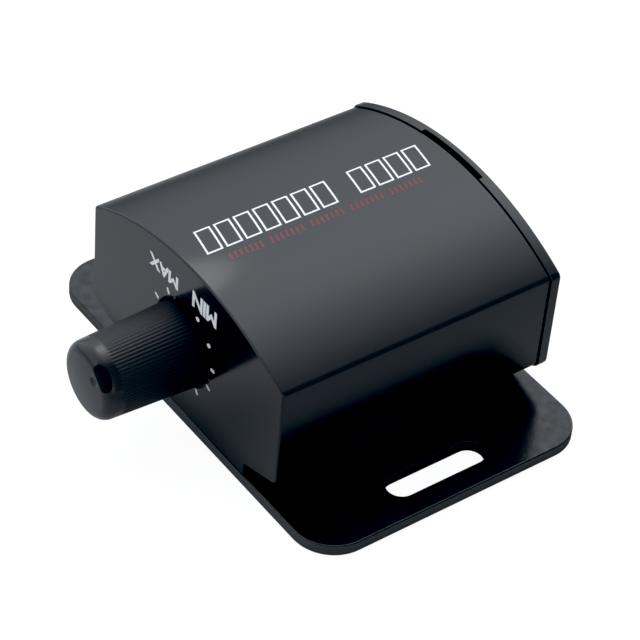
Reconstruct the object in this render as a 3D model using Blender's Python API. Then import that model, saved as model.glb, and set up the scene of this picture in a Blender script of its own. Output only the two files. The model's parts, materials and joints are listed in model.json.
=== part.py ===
"""Wired remote level control of a car amplifier, modelled as it comes apart on a bench.

An arched plastic housing stands on a flat steel mounting plate with one slotted ear on each
side.  The circuit board hangs under the crown of the housing and carries a rotary level
potentiometer behind the front wall and a four-wire modular jack behind the rear cap.

Frame: +X to the right seen from the knob, +Y from the knob to the jack, +Z up from the
mounting plate.  The origin is the middle of the plate's mounting face.  Units are metres.
"""
import math

import bmesh
import bpy
from mathutils import Matrix, Vector

MM = 0.001

# ---------------------------------------------------------------- driving dimensions
GAP = 0.3 * MM                     # room between pieces that touch
CUT = 1.0 * MM                     # how far a cutting tool passes a face

PLATE_WIDTH = 74.3 * MM            # mounting plate, ear to ear
PLATE_DEPTH = 51.4 * MM
PLATE_THICKNESS = 2.0 * MM
PLATE_CORNER = 7.0 * MM
SLOT_OFFSET = 31.0 * MM            # slot centre line from the middle
SLOT_LENGTH = 18.0 * MM
SLOT_WIDTH = 4.8 * MM

HOUSING_WIDTH = 50.0 * MM
HOUSING_DEPTH = 49.4 * MM
HOUSING_WALL = 1.8 * MM
FRONT_WALL = 2.0 * MM
SIDE_BOTTOM = 6.8 * MM             # height of the side walls' lower edge
SIDE_TOP = 24.6 * MM               # height where side wall and arch meet
CROWN = 31.2 * MM                  # top of the arch
FOOT_WIDTH = 34.0 * MM             # narrow foot that stands on the plate
FOOT_TOP = 4.4 * MM                # height where the foot turns outwards
SHOULDER_RADIUS = 0.6 * MM         # edge between side wall and arch
LOWER_RADIUS = 1.5 * MM            # edge between side wall and ledge
RIM_BEVEL = 0.4 * MM               # edge around the front face and the rear face

CAP_PROUD = 0.3 * MM               # the rear cap stands proud of the housing all round
CAP_LIP_DEPTH = 4.0 * MM           # lip that enters the housing
CAP_LIP_WALL = 1.3 * MM
CAP_LIP_BOTTOM = 12.5 * MM
PRY_WIDTH = 14.5 * MM              # screwdriver notch in the cap's front edge
PRY_OFFSET = -0.9 * MM
PRY_DEPTH = 1.0 * MM
PRY_FLOOR = 29.5 * MM
SNAP_HEIGHT = 5.2 * MM
SNAP_MIDDLE = 17.0 * MM

SHAFT_HEIGHT = 15.75 * MM          # axis of the potentiometer above the mounting face
KNOB_LENGTH = 18.0 * MM
KNOB_TIP = -17.5 * MM              # front of the knob, from the front face
KNOB_REAR_RADIUS = 6.95 * MM
KNOB_FRONT_RADIUS = 6.3 * MM
KNOB_EDGE = 1.8 * MM               # round edge of the knob's front
KNOB_CROWN = 0.25 * MM
POINTER_ANGLE = math.radians(44.0)   # where the knob points, counter-clockwise from +X
WELL_RADIUS = 7.4 * MM             # round recess that the knob sinks into
WELL_DEPTH = 1.5 * MM
PANEL_WALL = 1.5 * MM              # wall behind the recess, which carries the potentiometer
PANEL_RADIUS = 9.2 * MM

SHAFT_RADIUS = 3.0 * MM
SHAFT_RUNNING_CLEARANCE = 0.1 * MM
SHAFT_FLAT = 1.5 * MM              # the shaft's flat, from its axis
TENON_RADIUS = 1.5 * MM            # thin rear end of the shaft, which carries the rotor
BUSH_RADIUS = 3.5 * MM
POT_HALF_WIDTH = 4.9 * MM
POT_BELOW = 4.95 * MM              # potentiometer body below and above its axis
POT_ABOVE = 6.25 * MM
POT_CAVITY_RADIUS = 4.4 * MM
TERMINAL_PITCH = 2.5 * MM
TERMINAL_FRONT = 10.1 * MM         # behind the housing's front face
TERMINAL_THICKNESS = 0.4 * MM

BOARD_WIDTH = 38.0 * MM
BOARD_THICKNESS = 1.6 * MM
BOARD_BOTTOM = 22.3 * MM
BOARD_FRONT = -22.0 * MM
BOARD_REAR = 19.6 * MM
BOARD_SCREW_X = 13.0 * MM
BOARD_SCREW_Y = (-12.0 * MM, 15.0 * MM)

JACK_WIDTH = 13.2 * MM
JACK_HEIGHT = 12.0 * MM
JACK_LENGTH = 17.4 * MM
JACK_MOUTH_WIDTH = 10.0 * MM
JACK_MOUTH_HEIGHT = 7.1 * MM
CONTACT_PITCH = 1.02 * MM
CONTACT_COUNT = 4

BASE_SCREW_X = 13.4 * MM
BASE_SCREW_Y = 19.6 * MM

FINE = 64                          # facets around the knob
ROUND = 32                         # facets around shafts and bushes
SMALL = 20                         # facets around screws and small holes
ARCH_STEPS = 32

# ---------------------------------------------------------------- derived dimensions
FRONT = -PLATE_DEPTH / 2
REAR = PLATE_DEPTH / 2
HOUSING_REAR = FRONT + HOUSING_DEPTH
CAP_FRONT = HOUSING_REAR + GAP
FOOT_BOTTOM = PLATE_THICKNESS + GAP
HALF_WIDTH = HOUSING_WIDTH / 2
HALF_FOOT = FOOT_WIDTH / 2
ARCH_RISE = CROWN - SIDE_TOP
ARCH_RADIUS = (HALF_WIDTH ** 2 + ARCH_RISE ** 2) / (2 * ARCH_RISE)
ARCH_CENTRE = CROWN - ARCH_RADIUS
LEDGE_SLOPE = (SIDE_BOTTOM - FOOT_TOP) / (HALF_WIDTH - HALF_FOOT)
JACK_TOP = BOARD_BOTTOM - GAP
JACK_BOTTOM = JACK_TOP - JACK_HEIGHT
JACK_REAR = REAR - GAP
JACK_FRONT = JACK_REAR - JACK_LENGTH


# ---------------------------------------------------------------- scene and materials
def clear_scene():
    for obj in list(bpy.data.objects):
        bpy.data.objects.remove(obj, do_unlink=True)


def make_material(name, colour, roughness, metallic=0.0):
    material = bpy.data.materials.new(name)
    material.use_nodes = True
    shader = material.node_tree.nodes["Principled BSDF"]
    shader.inputs["Base Color"].default_value = (*colour, 1.0)
    shader.inputs["Roughness"].default_value = roughness
    shader.inputs["Metallic"].default_value = metallic
    return material


# ---------------------------------------------------------------- outlines
def round_corners(points, radii, steps):
    """Replace each corner that has a radius by a tangent arc."""
    rounded = []
    count = len(points)
    for index, (point, radius) in enumerate(zip(points, radii)):
        if radius == 0.0:
            rounded.append(point)
            continue
        corner = Vector(point)
        to_last = (Vector(points[index - 1]) - corner).normalized()
        to_next = (Vector(points[(index + 1) % count]) - corner).normalized()
        half = to_last.angle(to_next) / 2
        centre = corner + (to_last + to_next).normalized() * radius / math.sin(half)
        start = corner + to_last * radius / math.tan(half) - centre
        end = corner + to_next * radius / math.tan(half) - centre
        turn = start.angle(end)
        for step in range(steps + 1):
            share = step / steps
            mixed = start * math.sin((1 - share) * turn) + end * math.sin(share * turn)
            rounded.append(tuple(centre + mixed / math.sin(turn)))
    return rounded


def rectangle(half_x, low, high):
    return [(-half_x, low), (half_x, low), (half_x, high), (-half_x, high)]


def polygon(radius, count):
    angles = [2 * math.pi * step / count for step in range(count)]
    return [(radius * math.cos(angle), radius * math.sin(angle)) for angle in angles]


def oblong(middle, half_width, half_length, steps):
    """Outline of a slot that runs along its second axis between round ends."""
    straight = half_length - half_width
    angles = [math.pi * step / steps for step in range(steps + 1)]
    upper = [(middle + half_width * math.cos(angle), straight + half_width * math.sin(angle))
             for angle in angles]
    lower = [(2 * middle - u, -v) for u, v in upper]
    return upper + lower


def arch_points(inset):
    """Points of the arch from its right end to its left end, evenly spaced."""
    radius = ARCH_RADIUS - inset
    spread = math.asin((HALF_WIDTH - inset) / radius)
    angles = [spread * (1 - 2 * step / ARCH_STEPS) for step in range(ARCH_STEPS + 1)]
    return [(radius * math.sin(angle), ARCH_CENTRE + radius * math.cos(angle)) for angle in angles]


def ledge_height(x, inset):
    return FOOT_TOP + (x - HALF_FOOT) * LEDGE_SLOPE + inset * math.hypot(1.0, LEDGE_SLOPE)


def housing_outline(inset, bottom, rounded=True):
    """Cross-section of the housing, seen from the front, moved inwards by inset."""
    foot = HALF_FOOT - inset
    side = HALF_WIDTH - inset
    right = [(foot, bottom), (foot, ledge_height(foot, inset)), (side, ledge_height(side, inset))]
    arch = arch_points(inset)
    left = [(-x, z) for x, z in reversed(right)]
    points = right + arch + left
    if not rounded:
        return points
    radii = [0.0] * len(points)
    radii[2] = radii[-3] = LOWER_RADIUS
    radii[3] = radii[-4] = SHOULDER_RADIUS
    return round_corners(points, radii, 4)


def ribbon_outline(path, thickness):
    """Outline of a strip of even thickness that follows a path."""
    left, right = [], []
    for index, point in enumerate(path):
        here = Vector(point)
        before = (here - Vector(path[index - 1])).normalized() if index else None
        after = (Vector(path[index + 1]) - here).normalized() if index + 1 < len(path) else None
        along = ((before or after) + (after or before)).normalized()
        normal = Vector((-along.y, along.x))
        reach = thickness / 2 / along.dot(before or after)
        left.append(tuple(here + normal * reach))
        right.append(tuple(here - normal * reach))
    return left + right[::-1]


# ---------------------------------------------------------------- solids
def extrude(outline, place, low, high):
    """Close an outline into a prism; place(u, v, w) gives the point at height w."""
    solid = bmesh.new()
    start = [solid.verts.new(place(u, v, low)) for u, v in outline]
    end = [solid.verts.new(place(u, v, high)) for u, v in outline]
    solid.faces.new(start)
    solid.faces.new(end[::-1])
    for index in range(len(outline)):
        after = (index + 1) % len(outline)
        solid.faces.new((start[after], start[index], end[index], end[after]))
    bmesh.ops.recalc_face_normals(solid, faces=solid.faces)
    return solid


def prism_x(outline, low, high):
    return extrude(outline, lambda y, z, x: (x, y, z), low, high)


def prism_y(outline, low, high):
    return extrude(outline, lambda x, z, y: (x, y, z), low, high)


def prism_z(outline, low, high):
    return extrude(outline, lambda x, y, z: (x, y, z), low, high)


def box(x_span, y_span, z_span):
    (x_low, x_high), (y_low, y_high) = x_span, y_span
    outline = [(x_low, y_low), (x_high, y_low), (x_high, y_high), (x_low, y_high)]
    return prism_z(outline, *z_span)


def cylinder_y(radius, low, high, facets, x=0.0, z=0.0):
    return prism_y([(x + u, z + v) for u, v in polygon(radius, facets)], low, high)


def cylinder_z(radius, low, high, facets, x=0.0, y=0.0):
    return prism_z([(x + u, y + v) for u, v in polygon(radius, facets)], low, high)


def turned(profile, facets):
    """Turn a profile of (radius, height) about +Z; flat caps close its two ends."""
    solid = bmesh.new()
    rings = []
    for radius, height in profile:
        rings.append([solid.verts.new((u, v, height)) for u, v in polygon(radius, facets)])
    for lower, upper in zip(rings, rings[1:]):
        for index in range(facets):
            after = (index + 1) % facets
            solid.faces.new((lower[index], lower[after], upper[after], upper[index]))
    solid.faces.new(rings[0])
    solid.faces.new(rings[-1])
    bmesh.ops.recalc_face_normals(solid, faces=solid.faces)
    return solid


def turned_y(profile, facets):
    """Turn a profile of (radius, y) about the Y axis."""
    solid = turned([(radius, -y) for radius, y in profile], facets)
    bmesh.ops.rotate(solid, verts=solid.verts, matrix=Matrix.Rotation(math.pi / 2, 3, "X"))
    return solid


def bevel_rim(solid, y, width):
    """Bevel the edges of the end face that lies at height y, except along its bottom."""
    bottom = min(vertex.co.z for vertex in solid.verts)
    edges = [edge for edge in solid.edges
             if all(abs(vertex.co.y - y) < 1e-6 for vertex in edge.verts)
             and not all(abs(vertex.co.z - bottom) < 1e-6 for vertex in edge.verts)]
    bmesh.ops.bevel(solid, geom=edges, offset=width, segments=2, profile=0.5, affect="EDGES")
    return solid


# ---------------------------------------------------------------- objects
def add_piece(name, solid, material, location=(0, 0, 0), parent=None, smooth_angle=35.0):
    mesh = bpy.data.meshes.new(name)
    solid.to_mesh(mesh)
    solid.free()
    mesh.materials.append(material)
    mesh.shade_smooth()
    mesh.set_sharp_from_angle(angle=math.radians(smooth_angle))
    piece = bpy.data.objects.new(name, mesh)
    bpy.context.collection.objects.link(piece)
    piece.location = location
    piece.parent = parent
    return piece


def add_copy(name, original, location):
    piece = bpy.data.objects.new(name, original.data)
    bpy.context.collection.objects.link(piece)
    piece.location = location
    return piece


def combine(piece, tool_solid, operation):
    """Apply one Boolean step to a piece and drop the tool."""
    mesh = bpy.data.meshes.new("tool")
    tool_solid.to_mesh(mesh)
    tool_solid.free()
    tool = bpy.data.objects.new("tool", mesh)
    bpy.context.collection.objects.link(tool)
    tool.parent = piece.parent
    tool.location = piece.location
    tool.hide_render = True
    tool.display_type = "WIRE"
    step = piece.modifiers.new("step", "BOOLEAN")
    step.object = tool
    step.operation = operation
    step.solver = "EXACT"
    evaluated = piece.evaluated_get(bpy.context.evaluated_depsgraph_get())
    result = bpy.data.meshes.new_from_object(evaluated)
    piece.modifiers.remove(step)
    piece.data = result
    bpy.data.objects.remove(tool, do_unlink=True)


def cut(piece, tool_solid):
    combine(piece, tool_solid, "DIFFERENCE")


def join(piece, tool_solid):
    combine(piece, tool_solid, "UNION")


def mirrored(x_values, y_values):
    return [(x, y) for x in x_values for y in y_values]


BASE_SCREW_PLACES = mirrored((-BASE_SCREW_X, BASE_SCREW_X), (-BASE_SCREW_Y, BASE_SCREW_Y))
BOARD_SCREW_PLACES = mirrored((-BOARD_SCREW_X, BOARD_SCREW_X), BOARD_SCREW_Y)
TERMINAL_PLACES = (-TERMINAL_PITCH, 0.0, TERMINAL_PITCH)


# ---------------------------------------------------------------- fixed casing
def build_base_plate(steel):
    corners = rectangle(PLATE_WIDTH / 2, FRONT, REAR)
    outline = round_corners(corners, [PLATE_CORNER] * len(corners), 8)
    plate = add_piece("base_plate", prism_z(outline, 0.0, PLATE_THICKNESS), steel)
    for side in (-1, 1):
        slot = oblong(side * SLOT_OFFSET, SLOT_WIDTH / 2, SLOT_LENGTH / 2, 12)
        cut(plate, prism_z(slot, -CUT, PLATE_THICKNESS + CUT))
    hole_radius = 1.6 * MM
    sink_radius = 2.95 * MM
    for x, y in BASE_SCREW_PLACES:
        sink = turned([(sink_radius + CUT, -CUT), (hole_radius, sink_radius - hole_radius),
                       (hole_radius, PLATE_THICKNESS + CUT)], SMALL)
        bmesh.ops.translate(sink, verts=sink.verts, vec=(x, y, 0))
        cut(plate, sink)


def build_housing(plastic):
    solid = prism_y(housing_outline(0.0, FOOT_BOTTOM), FRONT, HOUSING_REAR)
    shell = add_piece("housing_shell", bevel_rim(solid, FRONT, RIM_BEVEL), plastic)
    inside = housing_outline(HOUSING_WALL, FOOT_BOTTOM - CUT, rounded=False)
    cut(shell, prism_y(inside, FRONT + FRONT_WALL, HOUSING_REAR + CUT))
    panel_front = FRONT + WELL_DEPTH
    panel_back = panel_front + PANEL_WALL
    join(shell, cylinder_y(PANEL_RADIUS, panel_front, panel_back, FINE, z=SHAFT_HEIGHT))
    cut(shell, cylinder_y(WELL_RADIUS, FRONT - CUT, panel_front, FINE, z=SHAFT_HEIGHT))
    cut(shell, cylinder_y(BUSH_RADIUS + GAP, panel_front - CUT, panel_back + CUT, ROUND, z=SHAFT_HEIGHT))
    boss_radius = 3.1 * MM
    boss_top = 11.5 * MM
    pilot_radius = 1.55 * MM
    for x, y in BASE_SCREW_PLACES:
        join(shell, cylinder_z(boss_radius, FOOT_BOTTOM + GAP, boss_top, SMALL, x, y))
        cut(shell, cylinder_z(pilot_radius, FOOT_BOTTOM - CUT, boss_top - CUT, SMALL, x, y))
    hanger_radius = 2.8 * MM
    hanger_top = 28.5 * MM
    hanger_bottom = BOARD_BOTTOM + BOARD_THICKNESS + GAP
    for x, y in BOARD_SCREW_PLACES:
        join(shell, cylinder_z(hanger_radius, hanger_bottom, hanger_top, SMALL, x, y))
        cut(shell, cylinder_z(pilot_radius, hanger_bottom - CUT, hanger_top - CUT, SMALL, x, y))
    pocket_inner = HALF_WIDTH - HOUSING_WALL - GAP
    pocket_outer = HALF_WIDTH - 0.7 * MM
    pocket_half = SNAP_HEIGHT / 2 + GAP
    z_span = (SNAP_MIDDLE - pocket_half, SNAP_MIDDLE + pocket_half)
    y_span = (HOUSING_REAR - 3.3 * MM, HOUSING_REAR - 0.7 * MM)
    cut(shell, box((pocket_inner, pocket_outer), y_span, z_span))
    cut(shell, box((-pocket_outer, -pocket_inner), y_span, z_span))


def lip_outline():
    """Cross-section of the cap's lip: an arch inside the housing wall, open below."""
    def side(inset):
        half = HALF_WIDTH - inset
        return [(half, CAP_LIP_BOTTOM)] + arch_points(inset) + [(-half, CAP_LIP_BOTTOM)]
    outer = HOUSING_WALL + GAP
    return side(outer) + side(outer + CAP_LIP_WALL)[::-1]


def build_rear_cap(plastic):
    solid = prism_y(housing_outline(-CAP_PROUD, FOOT_BOTTOM), CAP_FRONT, REAR)
    cap = add_piece("rear_cap", bevel_rim(solid, REAR, RIM_BEVEL), plastic)
    join(cap, prism_y(lip_outline(), CAP_FRONT - CAP_LIP_DEPTH, CAP_FRONT + RIM_BEVEL))
    lip_side = HALF_WIDTH - HOUSING_WALL - GAP
    snap_root = lip_side - CAP_LIP_WALL / 2
    snap_catch = lip_side + 1.0 * MM
    snap_lead = lip_side + 0.2 * MM
    z_span = (SNAP_MIDDLE - SNAP_HEIGHT / 2, SNAP_MIDDLE + SNAP_HEIGHT / 2)
    y_low = HOUSING_REAR - 2.9 * MM
    y_high = HOUSING_REAR - 1.1 * MM
    for side in (-1, 1):
        wedge = [(side * snap_root, y_low), (side * snap_root, y_high),
                 (side * snap_catch, y_high), (side * snap_lead, y_low)]
        join(cap, prism_z(wedge, *z_span))
    pry_span = (PRY_OFFSET - PRY_WIDTH / 2, PRY_OFFSET + PRY_WIDTH / 2)
    cut(cap, box(pry_span, (CAP_FRONT - CUT, CAP_FRONT + PRY_DEPTH), (PRY_FLOOR, CROWN + CUT)))
    window_room = 0.4 * MM
    half_window = JACK_WIDTH / 2 + window_room
    cut(cap, box((-half_window, half_window), (CAP_FRONT - CUT, REAR + CUT),
                 (JACK_BOTTOM - window_room, JACK_TOP + window_room)))


# ---------------------------------------------------------------- potentiometer and knob
def build_knob(plastic, axis):
    """The knob, with its own Y axis on the shaft and its pointer along its own +X."""
    rear = KNOB_TIP + KNOB_LENGTH
    nose = KNOB_TIP + KNOB_CROWN
    face_radius = KNOB_FRONT_RADIUS - KNOB_EDGE
    profile = [(KNOB_REAR_RADIUS, rear)]
    edge_steps = 6
    for step in range(edge_steps + 1):
        angle = math.pi / 2 * step / edge_steps
        radius = face_radius + KNOB_EDGE * math.cos(angle)
        profile.append((radius, nose + KNOB_EDGE * (1 - math.sin(angle))))
    for share in (0.6, 0.2):
        profile.append((face_radius * share, nose - KNOB_CROWN * (1 - share ** 2)))
    knob = add_piece("knob", turned_y(profile, FINE), plastic, parent=axis)
    nut_room = -2.3 * MM
    skirt_inside = 5.7 * MM
    cut(knob, cylinder_y(skirt_inside, nut_room, rear + CUT, ROUND))
    hub_radius = 4.4 * MM
    ring_end = -13.0 * MM
    ring = cylinder_y(skirt_inside - 0.5 * MM, ring_end, nut_room + CUT, ROUND)
    hub = cylinder_y(hub_radius, ring_end - CUT, nut_room, ROUND)
    cut_ring(knob, ring, hub)
    bore_end = -14.8 * MM
    cut(knob, flatted_cylinder(SHAFT_RADIUS + GAP, SHAFT_FLAT + GAP, bore_end, nut_room + CUT))
    pocket_floor = 5.0 * MM
    pocket_half_depth = 0.95 * MM
    pocket_half_width = 2.1 * MM
    pocket_y = KNOB_TIP + 1.45 * MM
    outline = [(pocket_y + pocket_half_depth * u, pocket_half_width * v) for u, v in polygon(1.0, SMALL)]
    cut(knob, prism_x(outline, pocket_floor, KNOB_REAR_RADIUS + CUT))
    dot_place = 3.7 * MM
    dot_radius = 0.5 * MM
    dot_floor = KNOB_TIP + 0.45 * MM
    cut(knob, cylinder_y(dot_radius, KNOB_TIP - CUT, dot_floor, SMALL, x=dot_place))


def cut_ring(piece, outer, core):
    """Cut the outer tool without its core: the core is kept as part of the piece."""
    cut(piece, outer)
    join(piece, core)


def flatted_cylinder(radius, flat, low, high):
    """A round bar with one flat on its -X side, along the Y axis."""
    start = math.acos(-flat / radius)
    angles = [start * (1 - 2 * step / ROUND) for step in range(ROUND + 1)]
    return prism_y([(radius * math.cos(angle), radius * math.sin(angle)) for angle in angles], low, high)


def build_shaft(metal, axis):
    shoulder = 4.7 * MM
    flat_start = -2.0 * MM
    tip = -14.3 * MM
    tenon_end = 7.2 * MM
    chamfer = 0.4 * MM
    profile = [(SHAFT_RADIUS - chamfer, tip), (SHAFT_RADIUS, tip + chamfer), (SHAFT_RADIUS, shoulder),
               (TENON_RADIUS, shoulder), (TENON_RADIUS, tenon_end)]
    shaft = add_piece("pot_shaft", turned_y(profile, ROUND), metal, parent=axis)
    flat_span = (-SHAFT_RADIUS - CUT, -SHAFT_FLAT)
    cut(shaft, box(flat_span, (tip - CUT, flat_start), (-SHAFT_RADIUS, SHAFT_RADIUS)))


def build_rotor(plastic, axis):
    """The rotor on the shaft's tenon, with the lug that meets the stop in the case."""
    front, back = 5.0 * MM, 7.4 * MM
    disc_radius = 3.2 * MM
    lug_reach = 4.1 * MM
    lug_half = 0.6 * MM
    rotor = add_piece("pot_rotor", cylinder_y(disc_radius, front, back, ROUND), plastic, parent=axis)
    join(rotor, box((disc_radius / 2, lug_reach), (front + GAP, back - GAP), (-lug_half, lug_half)))
    cut(rotor, cylinder_y(TENON_RADIUS + GAP, front - CUT, back + CUT, SMALL))


def build_wiper(bronze, axis):
    """A flat spring ring behind the rotor with one finger that rides on the track."""
    front, back = 7.7 * MM, 7.9 * MM
    ring_radius, hole_radius = 3.0 * MM, 1.9 * MM
    finger_span = (2.2 * MM, 2.7 * MM)
    finger_half = 0.4 * MM
    finger_tip = 8.5 * MM
    wiper = add_piece("pot_wiper", cylinder_y(ring_radius, front, back, ROUND), bronze, parent=axis)
    cut(wiper, cylinder_y(hole_radius, front - CUT, back + CUT, SMALL))
    join(wiper, box(finger_span, ((front + back) / 2, finger_tip), (-finger_half, finger_half)))


def build_bushing(metal, location):
    """The front plate of the potentiometer with its threaded neck."""
    neck_front = -1.9 * MM
    plate_front, plate_back = 3.3 * MM, 4.5 * MM
    outline = rectangle(POT_HALF_WIDTH, -POT_BELOW, POT_ABOVE)
    bushing = add_piece("pot_bushing", prism_y(outline, plate_front, plate_back), metal, location)
    thread_depth = 0.25 * MM
    pitch = 0.75 * MM
    profile = [(BUSH_RADIUS - thread_depth, neck_front)]
    while profile[-1][1] < plate_front - pitch:
        y = profile[-1][1]
        profile += [(BUSH_RADIUS, y + pitch / 2), (BUSH_RADIUS - thread_depth, y + pitch)]
    profile.append((BUSH_RADIUS - thread_depth, plate_front + GAP))
    join(bushing, turned_y(profile, ROUND))
    bore_radius = SHAFT_RADIUS + SHAFT_RUNNING_CLEARANCE
    cut(bushing, cylinder_y(bore_radius, neck_front - CUT, plate_back + CUT, ROUND))


def build_washer_and_nut(metal, location):
    hole_radius = BUSH_RADIUS + GAP
    washer_radius = 5.2 * MM
    washer_front, washer_back = 0.7 * MM, 1.2 * MM
    ring = cylinder_y(washer_radius, washer_front, washer_back, ROUND)
    washer = add_piece("pot_washer", ring, metal, location)
    cut(washer, cylinder_y(hole_radius, washer_front - CUT, washer_back + CUT, ROUND))
    across_flats = 9.0 * MM
    nut_front, nut_back = -1.6 * MM, washer_front - GAP
    hexagon = polygon(across_flats / 2 / math.cos(math.pi / 6), 6)
    nut = add_piece("pot_nut", prism_y(hexagon, nut_front, nut_back), metal, location)
    cut(nut, cylinder_y(hole_radius, nut_front - CUT, nut_back + CUT, ROUND))


def build_pot_case(plastic, location):
    """The middle frame of the potentiometer, with the block that stops the rotor's lug."""
    front, back = 4.8 * MM, 8.5 * MM
    outline = rectangle(POT_HALF_WIDTH, -POT_BELOW, POT_ABOVE)
    case = add_piece("pot_case", prism_y(outline, front, back), plastic, location)
    cut(case, cylinder_y(POT_CAVITY_RADIUS, front - CUT, back + CUT, ROUND))
    stop_half = 1.1 * MM
    stop_span = (3.5 * MM, POT_CAVITY_RADIUS + GAP)
    join(case, box((-stop_half, stop_half), (front + GAP, back - CUT), stop_span))


def build_pot_element(phenolic, location):
    front, back = 8.8 * MM, 9.8 * MM
    outline = rectangle(POT_HALF_WIDTH, -POT_BELOW, POT_ABOVE)
    add_piece("pot_element", prism_y(outline, front, back), phenolic, location)


def build_terminals(tin, location):
    """Three legs on the back of the element, which rise through the board."""
    lug_half, leg_half = 0.8 * MM, 0.45 * MM
    lug_low, lug_high, leg_top = -1.0 * MM, 3.0 * MM, 9.45 * MM
    right = [(lug_half, lug_low), (lug_half, lug_high), (leg_half, lug_high + leg_half), (leg_half, leg_top)]
    left = [(-x, z) for x, z in reversed(right)]
    legs = prism_y(right + left, TERMINAL_FRONT, TERMINAL_FRONT + TERMINAL_THICKNESS)
    first = add_piece("pot_terminal_1", legs, tin)
    for index, x in enumerate(TERMINAL_PLACES):
        place = (location[0] + x, location[1], location[2])
        if index == 0:
            first.location = place
        else:
            add_copy(f"pot_terminal_{index + 1}", first, place)


# ---------------------------------------------------------------- board and jack
def contact_places():
    """Each contact's x, and the y of its leg: odd and even legs stand in two rows."""
    first = -CONTACT_PITCH * (CONTACT_COUNT - 1) / 2
    rows = (JACK_FRONT + 2.2 * MM, JACK_FRONT + 4.7 * MM)
    return [(first + CONTACT_PITCH * k, rows[k % 2]) for k in range(CONTACT_COUNT)]


def build_board(laminate):
    top = BOARD_BOTTOM + BOARD_THICKNESS
    solid = box((-BOARD_WIDTH / 2, BOARD_WIDTH / 2), (BOARD_FRONT, BOARD_REAR), (BOARD_BOTTOM, top))
    board = add_piece("circuit_board", solid, laminate)

    def drill(radius, x, y):
        cut(board, cylinder_z(radius, BOARD_BOTTOM - CUT, top + CUT, SMALL, x, y))

    screw_hole, terminal_hole, contact_hole = 1.3 * MM, 0.8 * MM, 0.5 * MM
    for x, y in BOARD_SCREW_PLACES:
        drill(screw_hole, x, y)
    for x in TERMINAL_PLACES:
        drill(terminal_hole, x, FRONT + TERMINAL_FRONT + TERMINAL_THICKNESS / 2)
    for x, y in contact_places():
        drill(contact_hole, x, y)


def build_jack(plastic):
    """Modular jack: a mouth for the plug, a latch channel under it and a contact space over it."""
    half = JACK_WIDTH / 2
    block = box((-half, half), (JACK_FRONT, JACK_REAR), (JACK_BOTTOM, JACK_TOP))
    jack = add_piece("jack_housing", block, plastic)
    wall = 1.0 * MM
    mouth_low = JACK_BOTTOM + 2.2 * MM
    mouth_high = mouth_low + JACK_MOUTH_HEIGHT
    half_mouth = JACK_MOUTH_WIDTH / 2
    plug_span = (JACK_FRONT + 4.5 * MM, JACK_REAR + CUT)
    cut(jack, box((-half_mouth, half_mouth), plug_span, (mouth_low, mouth_high)))
    half_latch = 3.2 * MM
    cut(jack, box((-half_latch, half_latch), plug_span, (JACK_BOTTOM + wall, mouth_low + CUT)))
    half_space = 2.3 * MM
    space_high = JACK_TOP - wall
    space_span = (JACK_FRONT + wall, JACK_REAR - wall)
    cut(jack, box((-half_space, half_space), space_span, (mouth_high - GAP, space_high)))
    leg_hole = 0.45 * MM
    for x, y in contact_places():
        cut(jack, cylinder_z(leg_hole, space_high - CUT, JACK_TOP + CUT, SMALL, x, y))


def build_contacts(bronze):
    """Sprung contacts, drawn pressed home as they lie when a plug is in."""
    width = 0.45 * MM
    thickness = 0.3 * MM
    leg_top = BOARD_BOTTOM + BOARD_THICKNESS + 1.3 * MM
    run_height = JACK_TOP - 1.5 * MM
    elbow_y = JACK_REAR - 2.4 * MM
    tip = (JACK_REAR - 11.0 * MM, run_height - 0.9 * MM)
    for index, (x, leg_y) in enumerate(contact_places()):
        path = [(leg_y, leg_top), (leg_y, run_height), (elbow_y, run_height),
                (elbow_y, run_height - 0.5 * MM), tip]
        solid = prism_x(ribbon_outline(path, thickness), x - width / 2, x + width / 2)
        add_piece(f"jack_contact_{index + 1}", solid, bronze)


# ---------------------------------------------------------------- screws
def cross_recess(head_radius, low, high):
    """Two crossed slots, as one solid, for the drive of a screw."""
    half = 0.3 * MM
    reach = head_radius * 0.62
    arm = [(reach, -half), (reach, half), (half, half)]
    outline = []
    for quarter in range(4):
        turn = Matrix.Rotation(quarter * math.pi / 2, 2)
        outline += [tuple(turn @ Vector(point)) for point in arm]
    return prism_z(outline, low, high)


def build_screws(name, profile, places, height, recess_depth, metal):
    """Screws that point upwards, with their heads below."""
    head_low = profile[0][1]
    head_radius = max(radius for radius, _ in profile)
    first = add_piece(f"{name}_1", turned(profile, SMALL), metal, (*places[0], height))
    cut(first, cross_recess(head_radius, head_low - CUT, head_low + recess_depth))
    for index, (x, y) in enumerate(places[1:]):
        add_copy(f"{name}_{index + 2}", first, (x, y, height))


def build_all_screws(metal):
    head, body, sunk = 2.55 * MM, 1.25 * MM, 0.15 * MM
    thread_end, tip_length, tip = 9.0 * MM, 0.8 * MM, 0.5 * MM
    base_profile = [(head, sunk), (body, sunk + head - body), (body, thread_end),
                    (tip, thread_end + tip_length)]
    build_screws("base_screw", base_profile, BASE_SCREW_PLACES, 0.0, 0.8 * MM, metal)
    head, body, chamfer, head_height = 2.0 * MM, 1.0 * MM, 0.3 * MM, 1.2 * MM
    thread_end, tip_length, tip = 4.6 * MM, 0.4 * MM, 0.4 * MM
    board_profile = [(head - chamfer, -head_height), (head, chamfer - head_height), (head, 0.0),
                     (body, 0.0), (body, thread_end), (tip, thread_end + tip_length)]
    build_screws("board_screw", board_profile, BOARD_SCREW_PLACES, BOARD_BOTTOM - GAP, 0.7 * MM, metal)


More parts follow.
